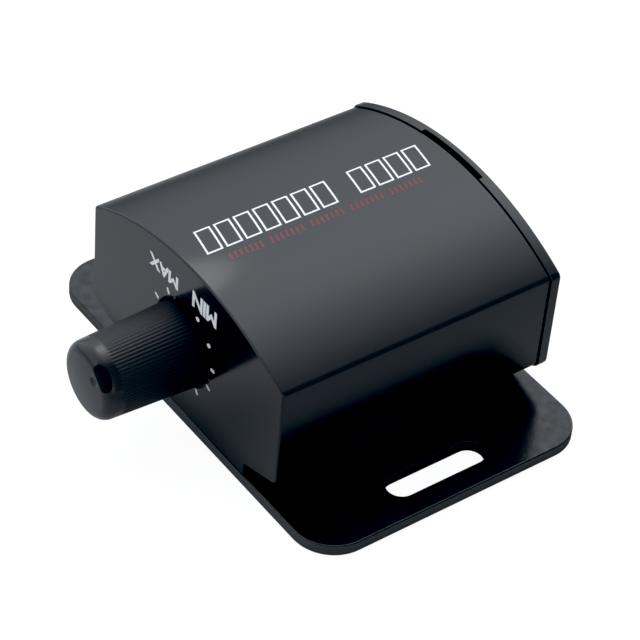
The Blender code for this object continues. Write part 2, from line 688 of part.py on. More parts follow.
# ---------------------------------------------------------------- assembly
def build_assembly():
    clear_scene()
    shell_black = make_material("moulded_black", (0.012, 0.012, 0.014), 0.28)
    plate_black = make_material("coated_steel", (0.010, 0.010, 0.011), 0.30)
    knob_black = make_material("knob_black", (0.014, 0.014, 0.015), 0.35)
    steel = make_material("zinc_plated_steel", (0.55, 0.55, 0.53), 0.35, 1.0)
    aluminium = make_material("shaft_aluminium", (0.70, 0.70, 0.71), 0.30, 1.0)
    bronze = make_material("contact_bronze", (0.80, 0.58, 0.22), 0.28, 1.0)
    laminate = make_material("board_laminate", (0.02, 0.16, 0.07), 0.45)
    phenolic = make_material("element_phenolic", (0.25, 0.13, 0.06), 0.55)
    grey = make_material("rotor_plastic", (0.30, 0.30, 0.31), 0.50)
    jack_black = make_material("jack_plastic", (0.018, 0.018, 0.018), 0.45)

    build_base_plate(plate_black)
    build_housing(shell_black)
    build_rear_cap(shell_black)

    front_centre = (0.0, FRONT, SHAFT_HEIGHT)
    knob_axis = bpy.data.objects.new("knob_axis", None)
    bpy.context.collection.objects.link(knob_axis)
    knob_axis.location = front_centre
    knob_axis.rotation_euler = (0.0, -POINTER_ANGLE, 0.0)
    bpy.context.view_layer.update()
    build_knob(knob_black, knob_axis)
    build_shaft(aluminium, knob_axis)
    build_rotor(grey, knob_axis)
    build_wiper(bronze, knob_axis)

    build_bushing(steel, front_centre)
    build_washer_and_nut(steel, front_centre)
    build_pot_case(jack_black, front_centre)
    build_pot_element(phenolic, front_centre)
    build_terminals(steel, front_centre)

    build_board(laminate)
    build_jack(jack_black)
    build_contacts(bronze)
    build_all_screws(steel)


build_assembly()
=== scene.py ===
"""Looks of the wired remote level control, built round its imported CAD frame.

Every size and place comes from the frame or from the named values below, in metres.  Fine
surfaces replace the coarse CAD solids; hidden inner parts keep their CAD solid and get a
material.  +X is to the right seen from the knob, +Y from the knob to the jack, +Z up.
"""
import json
import math

import bmesh
import bpy
from mathutils import Matrix, Vector
from mathutils.geometry import intersect_line_line_2d


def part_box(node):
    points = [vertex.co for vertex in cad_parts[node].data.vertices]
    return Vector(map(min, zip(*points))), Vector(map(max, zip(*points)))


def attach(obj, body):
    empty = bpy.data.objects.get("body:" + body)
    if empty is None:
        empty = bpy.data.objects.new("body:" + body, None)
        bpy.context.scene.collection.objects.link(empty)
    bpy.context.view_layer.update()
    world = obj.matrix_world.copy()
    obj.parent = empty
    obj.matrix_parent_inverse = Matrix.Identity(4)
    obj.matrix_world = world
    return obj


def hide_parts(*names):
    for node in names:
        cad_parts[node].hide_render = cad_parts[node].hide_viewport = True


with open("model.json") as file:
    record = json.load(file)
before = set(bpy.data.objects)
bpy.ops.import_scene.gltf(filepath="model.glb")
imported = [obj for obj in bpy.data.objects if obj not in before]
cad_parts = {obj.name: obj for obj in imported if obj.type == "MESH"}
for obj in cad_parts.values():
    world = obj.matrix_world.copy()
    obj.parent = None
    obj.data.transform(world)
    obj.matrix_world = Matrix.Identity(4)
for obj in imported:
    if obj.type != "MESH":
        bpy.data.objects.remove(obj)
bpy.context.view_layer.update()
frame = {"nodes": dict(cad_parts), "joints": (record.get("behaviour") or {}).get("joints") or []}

MM = 0.001
CASING = "casing"
TURNING = "level_knob"
HINGE = next(joint for joint in frame["joints"] if joint["name"] == "level_turn")

# ---------------------------------------------------------------- places from the frame
HOUSING_LOW, HOUSING_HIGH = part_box("housing_shell")
PLATE_LOW, PLATE_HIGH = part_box("base_plate")
JACK_LOW, JACK_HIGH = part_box("jack_housing")
BOARD_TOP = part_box("circuit_board")[1].z
FRONT = HOUSING_LOW.y
HOUSING_REAR = HOUSING_HIGH.y
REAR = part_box("rear_cap")[1].y
FOOT_BOTTOM = HOUSING_LOW.z
CROWN = HOUSING_HIGH.z
HALF_WIDTH = HOUSING_HIGH.x
SHAFT_HEIGHT = HINGE["pos_m"][2]
CONTACTS = [f"jack_contact_{number}" for number in range(1, 5)]

GAP = 0.3 * MM      # room between pieces that touch in the real object
CUT = 1.0 * MM      # how far a cutter reaches past the surface it opens

# ---------------------------------------------------------------- shapes of the casing
SIDE_BOTTOM = 6.8 * MM
SIDE_TOP = 24.6 * MM
HALF_FOOT = 17.0 * MM
FOOT_TOP = 4.4 * MM
SHOULDER_RADIUS = 0.9 * MM
LOWER_RADIUS = 1.5 * MM
FOOT_RADIUS = 0.5 * MM
RIM_RADIUS = 0.35 * MM
SEAM_RADIUS = 0.08 * MM
WALL = 1.8 * MM
FRONT_WALL = 2.0 * MM
WELL_RADIUS = 7.4 * MM
WELL_DEPTH = 1.5 * MM
PANEL_WALL = 1.5 * MM
PANEL_RADIUS = 9.2 * MM
NECK_HOLE = 3.8 * MM
CAP_PROUD = 0.3 * MM
SEAM = 0.12 * MM
CAP_FRONT = HOUSING_REAR + SEAM
PRY_MIDDLE = -0.9 * MM
PRY_HALF = 7.25 * MM
PRY_DEPTH = 0.8 * MM
PRY_FLOOR = 29.5 * MM
PLATE_CORNER = 7.0 * MM
SLOT_OFFSET = 31.0 * MM
SLOT_HALF_WIDTH = 2.4 * MM
SLOT_HALF_LENGTH = 9.0 * MM

ARCH_RISE = CROWN - SIDE_TOP
ARCH_RADIUS = (HALF_WIDTH ** 2 + ARCH_RISE ** 2) / (2 * ARCH_RISE)
ARCH_CENTRE = CROWN - ARCH_RADIUS
ARCH_STEPS = 64
LEDGE_SLOPE = (SIDE_BOTTOM - FOOT_TOP) / (HALF_WIDTH - HALF_FOOT)

# ---------------------------------------------------------------- knob
KNOB_REAR = 0.5 * MM
KNOB_NOSE = -17.25 * MM
KNOB_REAR_RADIUS = 6.95 * MM
KNOB_FRONT_RADIUS = 6.3 * MM
KNOB_EDGE = 1.8 * MM
KNOB_CROWN = 0.25 * MM
RIBS = 72
RIB_FACETS = 8
RIB_DEPTH = 0.06 * MM
RIB_END = -14.5 * MM
RIB_FADE = 0.6 * MM
POINTER = math.radians(44.0)
POCKET_MIDDLE = -16.5 * MM
POCKET_HALF_ALONG = 0.85 * MM
POCKET_HALF_ACROSS = 2.2 * MM
POCKET_FLOOR = 4.6 * MM
DIMPLE_OFFSET = 3.7 * MM
DIMPLE_RADIUS = 0.85 * MM
DIMPLE_DEPTH = 0.3 * MM

# ---------------------------------------------------------------- print
SCALE_CENTRE = (-0.2 * MM, SHAFT_HEIGHT + 0.05 * MM)
SCALE_RADIUS = 8.1 * MM
SCALE_START = 63.0
SCALE_STEP = -30.2
SCALE_MARKS = 11
# name, word, then its right, left, lower and upper limits on the front face in millimetres
END_WORDS = (("label_max", "MAX", -1.9, -9.6, 24.5, 26.9),
             ("label_min", "MIN", 8.2, 1.9, 24.6, 27.6))
LETTER_THICKENING = 0.032
LETTER_SPACING = 0.92
BAR_SLANT = -0.22
BAR_COUNT = 12
BAR_GAP = 7
STROKE_COUNT = 39
STROKE_GROUP = 8
PRINT_THICKNESS = 0.02 * MM
PRINT_SUNK = 0.01 * MM
PRINT_MERGE = 0.001 * MM

# ---------------------------------------------------------------- camera
VIEW_AZIMUTH = 50.746
VIEW_ELEVATION = 41.363
VIEW_ROLL = 5.302
VIEW_TARGET = Vector((-3.11, 2.79, 4.74)) * MM
VIEW_DISTANCE = 413.04 * MM
LENS = 146.95
SENSOR_WIDTH = 36.0

# ---------------------------------------------------------------- stage
FLOOR_RADIUS = 160.0 * MM
BACKDROP = 1.05
KNOB_LIGHT_SIZE = 44.0 * MM
KNOB_LIGHT_AWAY = 100.0 * MM
KNOB_LIGHT_WATTS = 0.008
KNOB_LIGHT_DIRECTION = Vector((-0.453, 0.398, 0.797))


# ================================================================ materials
def add_node(tree, kind, inputs=None, **settings):
    """Add a shader node; each input is a value or another node's output."""
    made = tree.nodes.new(kind)
    for key, value in settings.items():
        setattr(made, key, value)
    for key, value in (inputs or {}).items():
        if isinstance(value, bpy.types.NodeSocket):
            tree.links.new(value, made.inputs[key])
        else:
            made.inputs[key].default_value = value
    return made


def math_node(tree, operation, first, second=0.0):
    return add_node(tree, "ShaderNodeMath", {0: first, 1: second}, operation=operation).outputs[0]


def spread(tree, value, low, high, to_low=0.0, to_high=1.0):
    """Map a value from one range to another, held inside the second range."""
    made = add_node(tree, "ShaderNodeMapRange", {"Value": value, "From Min": low, "From Max": high,
                                                 "To Min": to_low, "To Max": to_high})
    return made.outputs["Result"]


def noise(tree, place, size, detail=2.0, roughness=0.5):
    """Noise from 0 to 1 whose blotches are about size across, in millimetres."""
    made = add_node(tree, "ShaderNodeTexNoise", {"Vector": place, "Scale": 1.0 / size, "Detail": detail,
                                                 "Roughness": roughness})
    return made.outputs["Fac"]


def mix_colour(tree, factor, first, second):
    return add_node(tree, "ShaderNodeMix", {0: factor, 6: first, 7: second}, data_type="RGBA").outputs[2]


def mix_value(tree, factor, first, second):
    return add_node(tree, "ShaderNodeMix", {0: factor, 2: first, 3: second}, data_type="FLOAT").outputs[0]


def split_axes(tree, vector):
    return add_node(tree, "ShaderNodeSeparateXYZ", {0: vector}).outputs


def millimetres(tree):
    """Place on the piece, in millimetres."""
    place = add_node(tree, "ShaderNodeTexCoord").outputs["Object"]
    scaled = add_node(tree, "ShaderNodeVectorMath", {0: place, 1: (1 / MM,) * 3}, operation="MULTIPLY")
    return scaled.outputs[0]


def surface_normal(tree):
    return add_node(tree, "ShaderNodeNewGeometry").outputs["Normal"]


def beyond(tree, place, axis, half):
    """How far a place lies past half a width on either side of the middle, in millimetres."""
    return math_node(tree, "SUBTRACT", math_node(tree, "ABSOLUTE", split_axes(tree, place)[axis]), half)


def edge_mask(tree, radius):
    """1 on sharp edges, 0 on flat surface."""
    rounded = add_node(tree, "ShaderNodeBevel", {"Radius": radius}, samples=4).outputs[0]
    alike = add_node(tree, "ShaderNodeVectorMath", {0: rounded, 1: surface_normal(tree)},
                     operation="DOT_PRODUCT")
    return spread(tree, alike.outputs["Value"], 0.97, 0.75)


def bump(tree, height, depth, normal=None):
    inputs = {"Height": height, "Distance": depth, "Strength": 1.0}
    if normal is not None:
        inputs["Normal"] = normal
    return add_node(tree, "ShaderNodeBump", inputs).outputs[0]


def grey(value):
    return (value, value, value, 1.0)


def scaled_colour(colour, factor):
    return (*[min(1.0, channel * factor) for channel in colour], 1.0)


def shader_of(material):
    tree = material.node_tree
    return tree, tree.nodes["Principled BSDF"]


def start_material(name):
    material = bpy.data.materials.new(name)
    material.use_nodes = True
    return material, *shader_of(material)


def set_inputs(tree, shader, values):
    for key, value in values.items():
        if isinstance(value, bpy.types.NodeSocket):
            tree.links.new(value, shader.inputs[key])
        else:
            shader.inputs[key].default_value = value


def black_finish(name, colour, roughness, grain_size, grain_depth, wear, dust=0.0):
    """Moulded or coated black: fine grain, faint smears, pale edges and sparse dust.

    Grain size is in millimetres, grain depth in metres; wear and dust are shares of full cover.
    """
    material, tree, shader = start_material(name)
    place = millimetres(tree)
    clouds = noise(tree, place, 9.0, 3.0)
    grain = noise(tree, place, grain_size, 2.0)
    smear = noise(tree, place, 3.0, 4.0, 0.6)
    base = mix_colour(tree, clouds, scaled_colour(colour, 0.75), scaled_colour(colour, 1.3))
    edges = math_node(tree, "MULTIPLY", edge_mask(tree, 0.25 * MM), spread(tree, smear, 0.35, 0.75))
    base = mix_colour(tree, math_node(tree, "MULTIPLY", edges, wear), base, grey(0.10))
    rough = spread(tree, smear, 0.25, 0.8, roughness * 0.9, roughness * 1.15)
    if dust:
        specks = noise(tree, place, 0.22, 1.0)
        patches = noise(tree, place, 7.0, 2.0)
        fleck = spread(tree, specks, 0.80, 0.86)
        fleck = math_node(tree, "MULTIPLY", fleck, spread(tree, patches, 0.45, 0.65))
        fleck = math_node(tree, "MULTIPLY", fleck, dust)
        base = mix_colour(tree, fleck, base, grey(0.35))
    waves = noise(tree, place, 14.0, 1.0)
    normal = bump(tree, waves, 0.02 * MM)
    normal = bump(tree, grain, grain_depth, normal)
    set_inputs(tree, shader, {"Base Color": base, "Roughness": rough, "Normal": normal, "IOR": 1.5})
    return material


def source_of(shader, key):
    """Output that feeds one of the shader's inputs."""
    return shader.inputs[key].links[0].from_socket


def knob_finish(name):
    """Satin black whose ribbed grip is duller than the collar and the face, its sheen fading towards the
    housing as painted shade.
    """
    material = black_finish(name, (0.005, 0.005, 0.006), 0.20, 0.12, 0.0015 * MM, 0.15)
    tree, shader = shader_of(material)
    along = split_axes(tree, millimetres(tree))["Y"]
    end = (FRONT + RIB_END) / MM
    grip = spread(tree, along, end, end + RIB_FADE / MM)
    rough = mix_value(tree, grip, source_of(shader, "Roughness"), 0.45)
    # painted shade: the grip's sheen falls from 0.40 to 0.20 towards the housing face, where the housing
    # shades the ribs
    sheen_in_painted_shade = spread(tree, along, end, FRONT / MM, 0.40, 0.20)
    sheen = mix_value(tree, grip, 0.50, sheen_in_painted_shade)
    set_inputs(tree, shader, {"Roughness": rough, "Specular IOR Level": sheen})
    return material


def plate_finish(name):
    """Powder-coated sheet: coarser grain than the housing, and pale on its outer edges."""
    material = black_finish(name, (0.004, 0.004, 0.005), 0.17, 0.45, 0.0100 * MM, 0.3, 0.6)
    tree, shader = shader_of(material)
    facing = split_axes(tree, surface_normal(tree))["Z"]
    upright = spread(tree, math_node(tree, "ABSOLUTE", facing), 0.5, 0.2)
    place = millimetres(tree)
    past_slot = beyond(tree, place, "Y", SLOT_HALF_LENGTH / MM + 1.0)
    past_side = beyond(tree, place, "X", SLOT_OFFSET / MM + 4.0)
    outer = spread(tree, math_node(tree, "MAXIMUM", past_slot, past_side), 0.0, 0.5)
    upright = math_node(tree, "MULTIPLY", upright, outer)
    base = mix_colour(tree, upright, source_of(shader, "Base Color"), grey(0.07))
    mottle = noise(tree, place, 1.6, 4.0, 0.65)
    gloss = spread(tree, mottle, 0.3, 0.7, 0.28, 0.50)
    set_inputs(tree, shader, {"Base Color": base, "Specular IOR Level": gloss})
    return material


def print_ink(name, colour, strength):
    """Screen-printed ink, slightly uneven in cover and gloss."""
    material, tree, shader = start_material(name)
    place = millimetres(tree)
    cover = noise(tree, place, 0.35, 3.0)
    thin = scaled_colour(colour, strength)
    base = mix_colour(tree, spread(tree, cover, 0.25, 0.6), thin, scaled_colour(colour, 1.0))
    rough = spread(tree, cover, 0.2, 0.8, 0.40, 0.55)
    set_inputs(tree, shader, {"Base Color": base, "Roughness": rough,
                              "Normal": bump(tree, cover, 0.003 * MM)})
    return material


def plain_metal(name, colour, roughness, stretch):
    """Metal with fine marks drawn out along the stretch."""
    material, tree, shader = start_material(name)
    place = millimetres(tree)
    drawn = add_node(tree, "ShaderNodeVectorMath", {0: place, 1: stretch}, operation="MULTIPLY").outputs[0]
    marks = noise(tree, drawn, 0.25, 3.0)
    stain = noise(tree, place, 2.5, 3.0)
    base = mix_colour(tree, stain, scaled_colour(colour, 0.8), scaled_colour(colour, 1.0))
    rough = spread(tree, marks, 0.2, 0.8, roughness * 0.7, roughness * 1.3)
    set_inputs(tree, shader, {"Base Color": base, "Metallic": 1.0, "Roughness": rough,
                              "Normal": bump(tree, marks, 0.004 * MM)})
    return material


def board_finish(name):
    """Green solder mask over tracks that run square to each other."""
    material, tree, shader = start_material(name)
    place = millimetres(tree)
    cells = add_node(tree, "ShaderNodeTexBrick", {"Vector": place, "Scale": 0.28, "Mortar Size": 0.06})
    lines = cells.outputs["Fac"]
    weave = noise(tree, place, 0.3, 2.0)
    mask = mix_colour(tree, weave, (0.010, 0.10, 0.035, 1.0), (0.018, 0.15, 0.055, 1.0))
    base = mix_colour(tree, math_node(tree, "MULTIPLY", lines, 0.7), mask, (0.05, 0.26, 0.10, 1.0))
    set_inputs(tree, shader, {"Base Color": base, "Roughness": spread(tree, weave, 0.2, 0.8, 0.3, 0.45),
                              "Normal": bump(tree, lines, 0.03 * MM)})
    return material


def moulded_finish(name, colour, roughness, fleck):
    """Matt moulded or pressed material with a mottled body."""
    material, tree, shader = start_material(name)
    place = millimetres(tree)
    body = noise(tree, place, fleck, 4.0, 0.6)
    base = mix_colour(tree, body, scaled_colour(colour, 0.7), scaled_colour(colour, 1.25))
    set_inputs(tree, shader, {"Base Color": base,
                              "Roughness": spread(tree, body, 0.2, 0.8, roughness * 0.85, roughness * 1.15),
                              "Normal": bump(tree, body, 0.006 * MM)})
    return material


HOUSING_BLACK = black_finish("housing_black", (0.004, 0.004, 0.005), 0.14, 0.16, 0.0012 * MM, 0.15, 0.3)
PLATE_BLACK = plate_finish("plate_black")
KNOB_BLACK = knob_finish("knob_black")
JACK_BLACK = moulded_finish("jack_black", (0.016, 0.016, 0.017), 0.42, 0.5)
WHITE_INK = print_ink("white_ink", (0.88, 0.90, 0.93), 0.8)
RED_INK = print_ink("red_ink", (0.16, 0.022, 0.022), 0.6)
ZINC = plain_metal("zinc", (0.62, 0.62, 0.60), 0.32, (1.0, 1.0, 0.15))
ALUMINIUM = plain_metal("aluminium", (0.72, 0.72, 0.73), 0.28, (1.0, 0.1, 1.0))
GOLD_FLASH = plain_metal("gold_flash", (0.90, 0.66, 0.28), 0.22, (1.0, 0.1, 1.0))
BOARD_GREEN = board_finish("board_green")
ELEMENT_BROWN = moulded_finish("element_brown", (0.22, 0.12, 0.06), 0.5, 0.4)
ROTOR_GREY = moulded_finish("rotor_grey", (0.30, 0.30, 0.31), 0.5, 0.3)


# ================================================================ outlines
def round_corners(points, radii, steps):
    """Replace each corner that has a radius by a tangent arc."""
    rounded = []
    count = len(points)
    for index, (point, radius) in enumerate(zip(points, radii)):
        if radius <= 0.0:
            rounded.append(point)
            continue
        corner = Vector(point)
        to_last = (Vector(points[index - 1]) - corner).normalized()
        to_next = (Vector(points[(index + 1) % count]) - corner).normalized()
        half = to_last.angle(to_next) / 2
        centre = corner + (to_last + to_next).normalized() * radius / math.sin(half)
        start = corner + to_last * radius / math.tan(half) - centre
        end = corner + to_next * radius / math.tan(half) - centre
        turn = start.angle(end)
        for step in range(steps + 1):
            share = step / steps
            mixed = start * math.sin((1 - share) * turn) + end * math.sin(share * turn)
            rounded.append(tuple(centre + mixed / math.sin(turn)))
    return rounded


def rectangle(x_span, y_span):
    return [(x_span[0], y_span[0]), (x_span[1], y_span[0]), (x_span[1], y_span[1]), (x_span[0], y_span[1])]


def rounded_rectangle(x_span, y_span, radius, steps=8):
    return round_corners(rectangle(x_span, y_span), [radius] * 4, steps)


def circle(radius, facets):
    angles = [2 * math.pi * step / facets for step in range(facets)]
    return [(radius * math.cos(angle), radius * math.sin(angle)) for angle in angles]


def oblong(middle, half_width, half_length, steps=16):
    """Outline of a slot that runs along its second axis between round ends."""
    straight = half_length - half_width
    angles = [math.pi * step / steps for step in range(steps + 1)]
    upper = [(middle + half_width * math.cos(angle), straight + half_width * math.sin(angle))
             for angle in angles]
    return upper + [(2 * middle - u, -v) for u, v in upper]


def arch_points(grow):
    """Points of the arch from its right end to its left end, evenly spaced."""
    radius = ARCH_RADIUS + grow
    half_angle = math.asin((HALF_WIDTH + grow) / radius)
    angles = [half_angle * (1 - 2 * step / ARCH_STEPS) for step in range(ARCH_STEPS + 1)]
    return [(radius * math.sin(angle), ARCH_CENTRE + radius * math.cos(angle)) for angle in angles]


def ledge_height(x, grow):
    """Height of the sloping ledge over the foot."""
    return FOOT_TOP + (x - HALF_FOOT) * LEDGE_SLOPE - grow * math.hypot(1.0, LEDGE_SLOPE)


def casing_outline(grow, bottom=FOOT_BOTTOM):
    """Cross-section of the housing as (x, z), grown outwards all round but at the bottom."""
    foot = HALF_FOOT + grow
    side = HALF_WIDTH + grow
    right = [(foot, bottom), (foot, ledge_height(foot, grow)), (side, ledge_height(side, grow))]
    points = right + arch_points(grow) + [(-x, z) for x, z in reversed(right)]
    radii = [0.0] * len(points)
    radii[1] = radii[-2] = FOOT_RADIUS
    radii[2] = radii[-3] = LOWER_RADIUS + grow
    radii[3] = radii[-4] = SHOULDER_RADIUS + grow
    return round_corners(points, radii, 6)


# ================================================================ solids
def loft(sections, place):
    """Close a stack of like outlines into a solid; each section is (outline, height)."""
    solid = bmesh.new()
    rings = [[solid.verts.new(place(u, v, height)) for u, v in outline] for outline, height in sections]
    for lower, upper in zip(rings, rings[1:]):
        for index in range(len(lower)):
            after = (index + 1) % len(lower)
            solid.faces.new((lower[index], lower[after], upper[after], upper[index]))
    solid.faces.new(rings[0][::-1])
    solid.faces.new(rings[-1])
    bmesh.ops.recalc_face_normals(solid, faces=solid.faces)
    return solid


def along_y(x, z, y):
    return (x, y, z)


def along_z(x, y, z):
    return (x, y, z)


def standing_at(x, y, base=0.0):
    """Place function of an upright axis at (x, y)."""
    def place(u, v, height):
        return (x + u, y + v, base + height)
    return place


def on_shaft(x, z, y):
    """Place measured from the point where the shaft's axis passes the front face."""
    return (x, FRONT + y, SHAFT_HEIGHT + z)


def eased_levels(low, high, low_radius, high_radius=None, steps=4):
    """(inset, height) pairs of a wall whose two outer edges are rounded, alike unless told."""
    high_radius = low_radius if high_radius is None else high_radius
    turns = [math.pi / 2 * step / steps for step in range(steps + 1)]
    rise = [(1 - math.sin(turn), 1 - math.cos(turn)) for turn in turns]
    start = [(low_radius * inset, low + low_radius * height) for inset, height in rise]
    end = [(high_radius * inset, high - high_radius * height) for inset, height in reversed(rise)]
    return start + end


def turned(profile, facets, place):
    """Turn a profile of (radius, height) about the axis of place."""
    return loft([(circle(radius, facets), height) for radius, height in profile], place)


def block(x_span, y_span, z_span, radius=0.0):
    """A box whose upright edges may be rounded."""
    outline = rounded_rectangle(x_span, y_span, radius, 4) if radius else rectangle(x_span, y_span)
    return loft([(outline, z_span[0]), (outline, z_span[1])], along_z)


def new_object(name, solid):
    mesh = bpy.data.meshes.new(name)
    solid.to_mesh(mesh)
    solid.free()
    piece = bpy.data.objects.new(name, mesh)
    bpy.context.scene.collection.objects.link(piece)
    return piece


def combine(piece, tool_solid, operation):
    """Apply one Boolean step to a piece and drop the tool."""
    tool = new_object("tool", tool_solid)
    step = piece.modifiers.new("step", "BOOLEAN")
    step.object = tool
    step.operation = operation
    step.solver = "EXACT"
    evaluated = piece.evaluated_get(bpy.context.evaluated_depsgraph_get())
    result = bpy.data.meshes.new_from_object(evaluated)
    piece.modifiers.remove(step)
    piece.data = result
    bpy.data.objects.remove(tool, do_unlink=True)


def cut(piece, tool_solid):
    combine(piece, tool_solid, "DIFFERENCE")


def join(piece, tool_solid):
    combine(piece, tool_solid, "UNION")


def finish_piece(piece, material, body, *nodes, angle=32.0):
    """Shade, paint and mount a finished mesh; nodes are the CAD solids it stands for."""
    piece.data.materials.clear()
    piece.data.materials.append(material)
    piece.data.shade_smooth()
    piece.data.set_sharp_from_angle(angle=math.radians(angle))
    weighted = piece.modifiers.new("flat_faces_stay_flat", "WEIGHTED_NORMAL")
    weighted.keep_sharp = True
    if nodes:
        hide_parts(*nodes)
    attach(piece, body)
    return piece


def middle_of(node):
    """Middle of a node seen from above, as (x, y)."""
    low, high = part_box(node)
    return tuple(((low + high) / 2).xy)


def places_of(stem):
    """Middles of the four screws whose nodes start with stem."""
    return [middle_of(f"{stem}_{number}") for number in range(1, 5)]


# ================================================================ casing
def build_plate():
    """Coated sheet with rounded corners, eased edges, two slots and four sunk screw holes."""
    levels = eased_levels(PLATE_LOW.z, PLATE_HIGH.z, 0.3 * MM)
    sections = []
    for inset, height in levels:
        x_span = (PLATE_LOW.x + inset, PLATE_HIGH.x - inset)
        y_span = (PLATE_LOW.y + inset, PLATE_HIGH.y - inset)
        sections.append((rounded_rectangle(x_span, y_span, PLATE_CORNER - inset, 16), height))
    plate = new_object("plate_body", loft(sections, along_z))
    for side in (-1, 1):
        middle = side * SLOT_OFFSET
        sections = [(oblong(middle, SLOT_HALF_WIDTH + inset, SLOT_HALF_LENGTH + inset), height)
                    for inset, height in eased_levels(PLATE_LOW.z, PLATE_HIGH.z, 0.08 * MM)]
        sections.insert(0, (sections[0][0], PLATE_LOW.z - CUT))
        sections.append((sections[-1][0], PLATE_HIGH.z + CUT))
        cut(plate, loft(sections, along_z))
    hole, sink = 1.6 * MM, 2.95 * MM
    profile = [(sink + CUT, -CUT), (hole, sink - hole), (hole, PLATE_HIGH.z + CUT)]
    for x, y in places_of("base_screw"):
        cut(plate, turned(profile, 48, standing_at(x, y)))
    finish_piece(plate, PLATE_BLACK, CASING, "base_plate")


def build_housing():
    """Arched shell, open behind and below, with the knob's well and the screw bosses."""
    sections = [(casing_outline(-inset), height)
                for inset, height in eased_levels(FRONT, HOUSING_REAR, RIM_RADIUS, SEAM_RADIUS)]
    shell = new_object("housing_body", loft(sections, along_y))
    inside = casing_outline(-WALL + 0.01 * MM, FOOT_BOTTOM - CUT)
    cut(shell, loft([(inside, FRONT + FRONT_WALL), (inside, HOUSING_REAR + CUT)], along_y))
    panel_back = WELL_DEPTH + PANEL_WALL
    join(shell, turned([(PANEL_RADIUS, WELL_DEPTH), (PANEL_RADIUS, panel_back)], 96, on_shaft))
    lip = 0.2 * MM
    well = [(WELL_RADIUS + lip, -CUT), (WELL_RADIUS + lip, 0.0), (WELL_RADIUS + lip * 0.3, lip * 0.3),
            (WELL_RADIUS, lip), (WELL_RADIUS, WELL_DEPTH)]
    cut(shell, turned(well, 128, on_shaft))
    cut(shell, turned([(NECK_HOLE, 0.0), (NECK_HOLE, panel_back + CUT)], 64, on_shaft))
    boss, pilot = 3.1 * MM, 1.55 * MM
    boss_top = 11.5 * MM
    for x, y in places_of("base_screw"):
        at = standing_at(x, y)
        join(shell, turned([(boss, FOOT_BOTTOM + GAP), (boss, boss_top)], 32, at))
        cut(shell, turned([(pilot, FOOT_BOTTOM - CUT), (pilot, boss_top - CUT)], 32, at))
    hanger = 2.8 * MM
    hanger_top = 28.5 * MM
    hanger_low = BOARD_TOP + GAP
    for x, y in places_of("board_screw"):
        at = standing_at(x, y)
        join(shell, turned([(hanger, hanger_low), (hanger, hanger_top)], 32, at))
        cut(shell, turned([(pilot, hanger_low - CUT), (pilot, hanger_top - CUT)], 32, at))
    snap_middle, snap_half = 17.0 * MM, 2.9 * MM
    pocket = (HALF_WIDTH - WALL - GAP, HALF_WIDTH - 0.7 * MM)
    y_span = (HOUSING_REAR - 3.3 * MM, HOUSING_REAR - 0.7 * MM)
    z_span = (snap_middle - snap_half, snap_middle + snap_half)
    for side in (-1, 1):
        cut(shell, block(sorted((side * pocket[0], side * pocket[1])), y_span, z_span))
    finish_piece(shell, HOUSING_BLACK, CASING, "housing_shell")


def build_cap():
    """Rear cap with its lip, snaps, pry notch and the window for the jack."""
    sections = [(casing_outline(CAP_PROUD - inset), height)
                for inset, height in eased_levels(CAP_FRONT, REAR, SEAM_RADIUS, RIM_RADIUS)]
    cap = new_object("cap_body", loft(sections, along_y))
    lip_wall, lip_depth, lip_bottom = 1.3 * MM, 4.0 * MM, 12.5 * MM
    lip = []
    for inset in (WALL + GAP, WALL + GAP + lip_wall):
        half = HALF_WIDTH - inset
        side = [(half, lip_bottom)] + arch_points(-inset) + [(-half, lip_bottom)]
        lip += side if not lip else side[::-1]
    join(cap, loft([(lip, CAP_FRONT - lip_depth), (lip, CAP_FRONT + CUT / 2)], along_y))
    lip_side = HALF_WIDTH - WALL - GAP
    snap_low, snap_high = HOUSING_REAR - 2.9 * MM, HOUSING_REAR - 1.1 * MM
    snap_z = (14.4 * MM, 19.6 * MM)
    for side in (-1, 1):
        root = side * (lip_side - lip_wall / 2)
        wedge = [(root, snap_low), (root, snap_high), (side * (lip_side + 1.0 * MM), snap_high),
                 (side * (lip_side + 0.2 * MM), snap_low)]
        join(cap, loft([(wedge, snap_z[0]), (wedge, snap_z[1])], along_z))
    notch = rounded_rectangle((PRY_MIDDLE - PRY_HALF, PRY_MIDDLE + PRY_HALF),
                              (CAP_FRONT - CUT, CAP_FRONT + PRY_DEPTH), 0.2 * MM, 4)
    cut(cap, loft([(notch, PRY_FLOOR), (notch, CROWN + CUT)], along_z))
    room, ease = 0.4 * MM, 0.3 * MM
    window = []
    for inset, height in ((0.0, CAP_FRONT - CUT), (0.0, REAR - ease), (ease * 0.3, REAR - ease * 0.3),
                          (ease, REAR), (ease, REAR + CUT)):
        x_span = (JACK_LOW.x - room - inset, JACK_HIGH.x + room + inset)
        z_span = (JACK_LOW.z - room - inset, JACK_HIGH.z + room + inset)
        window.append((rounded_rectangle(x_span, z_span, 0.5 * MM + inset, 4), height))
    cut(cap, loft(window, along_y))
    finish_piece(cap, HOUSING_BLACK, CASING, "rear_cap")


